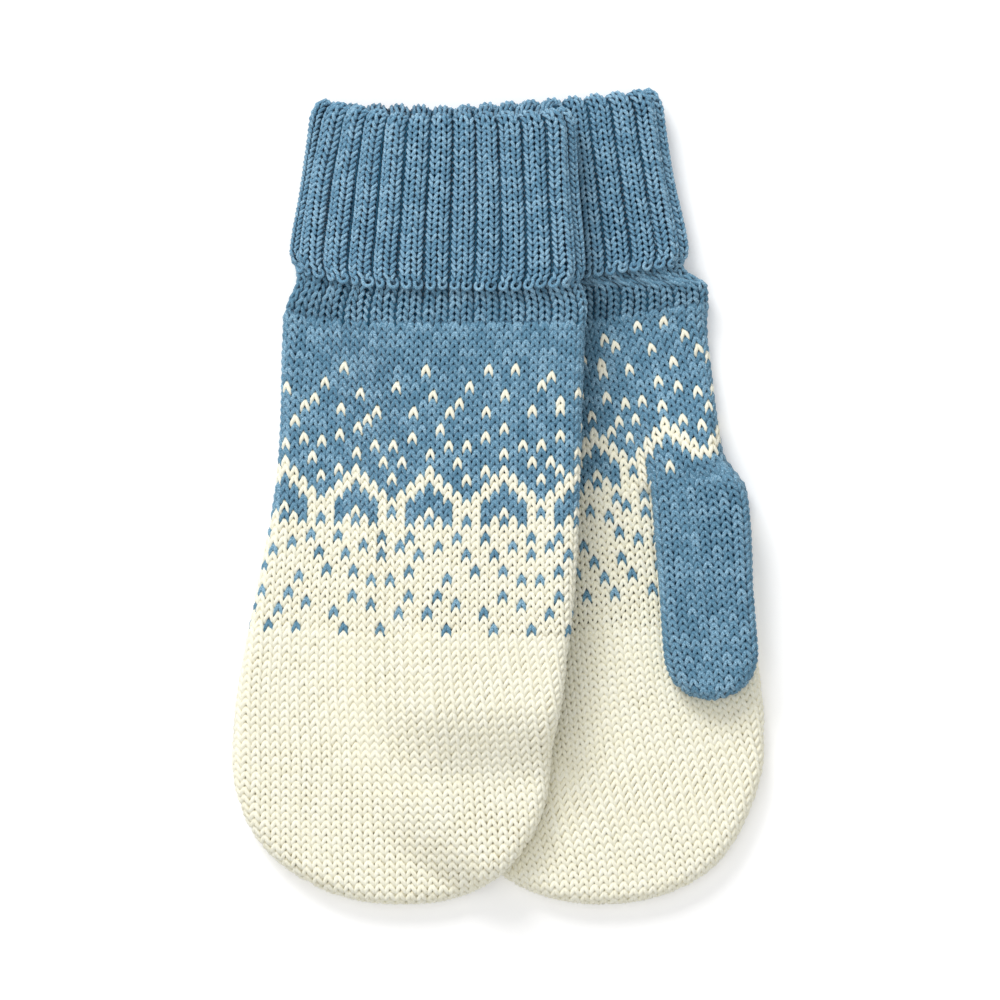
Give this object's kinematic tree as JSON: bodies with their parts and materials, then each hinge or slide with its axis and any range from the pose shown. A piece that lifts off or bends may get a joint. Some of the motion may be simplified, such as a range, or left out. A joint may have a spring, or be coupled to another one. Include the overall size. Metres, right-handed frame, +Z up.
{
  "type": "pair of knitted mittens",
  "caption": "Pair of knitted mittens laid flat and overlapping: stranded two-colour hands, plain finger ends, flat thumbs and deep turned-up ribbed cuffs.",
  "frame": {"origin": "centre of the pair's bounding box, on the floor under it", "axes": "+Z up, +Y from the finger tips to the cuffs, +X from the right mitten to the left mitten's thumb"},
  "size_m": [0.1725, 0.2638, 0.0316],
  "materials": {
    "blue_yarn": "matte heathered blue wool, stocking stitch",
    "blue_rib": "matte heathered blue wool, two-by-one rib",
    "cream_yarn": "matte cream wool, stocking stitch"
  },
  "bodies": {
    "left_mitten": {"left_finger_bag": "cream_yarn", "left_stranded_hand": "blue_yarn", "left_wrist_rib": "blue_rib"},
    "left_cuff": {"left_turn_up": "blue_rib"},
    "left_thumb": {"left_thumb": "blue_yarn"},
    "right_mitten": {"right_finger_bag": "cream_yarn", "right_stranded_hand": "blue_yarn", "right_wrist_rib": "blue_rib"},
    "right_cuff": {"right_turn_up": "blue_rib"},
    "right_thumb": {"right_thumb": "blue_yarn"}
  },
  "joints": [
    {"name": "left_thumb_swing", "type": "hinge", "parent": "left_mitten", "child": "left_thumb", "pos_m": [0.0634, 0.01085, 0.0102], "axis": [-0.9956, -0.0939, 0], "range_deg": [0, 80]},
    {"name": "left_cuff_unroll", "type": "slide", "parent": "left_mitten", "child": "left_cuff", "axis": [-0.0826, 0.9966, 0], "range_m": [0, 0.045]},
    {"name": "right_mitten_lift", "type": "slide", "parent": "left_mitten", "child": "right_mitten", "axis": [0, 0, 1], "range_m": [0, 0.12]},
    {"name": "right_cuff_unroll", "type": "slide", "parent": "right_mitten", "child": "right_cuff", "axis": [0.03, 0.9996, 0], "range_m": [0, 0.045]},
    {"name": "right_thumb_swing", "type": "hinge", "parent": "right_mitten", "child": "right_thumb", "pos_m": [0.0043, 0.01085, 0.0194], "axis": [0.9964, -0.0848, 0], "range_deg": [0, 56]}
  ],
  "couplings": [
    {"joint": "right_thumb_swing", "follows": "right_mitten_lift", "rad_per_m": 8}
  ]
}
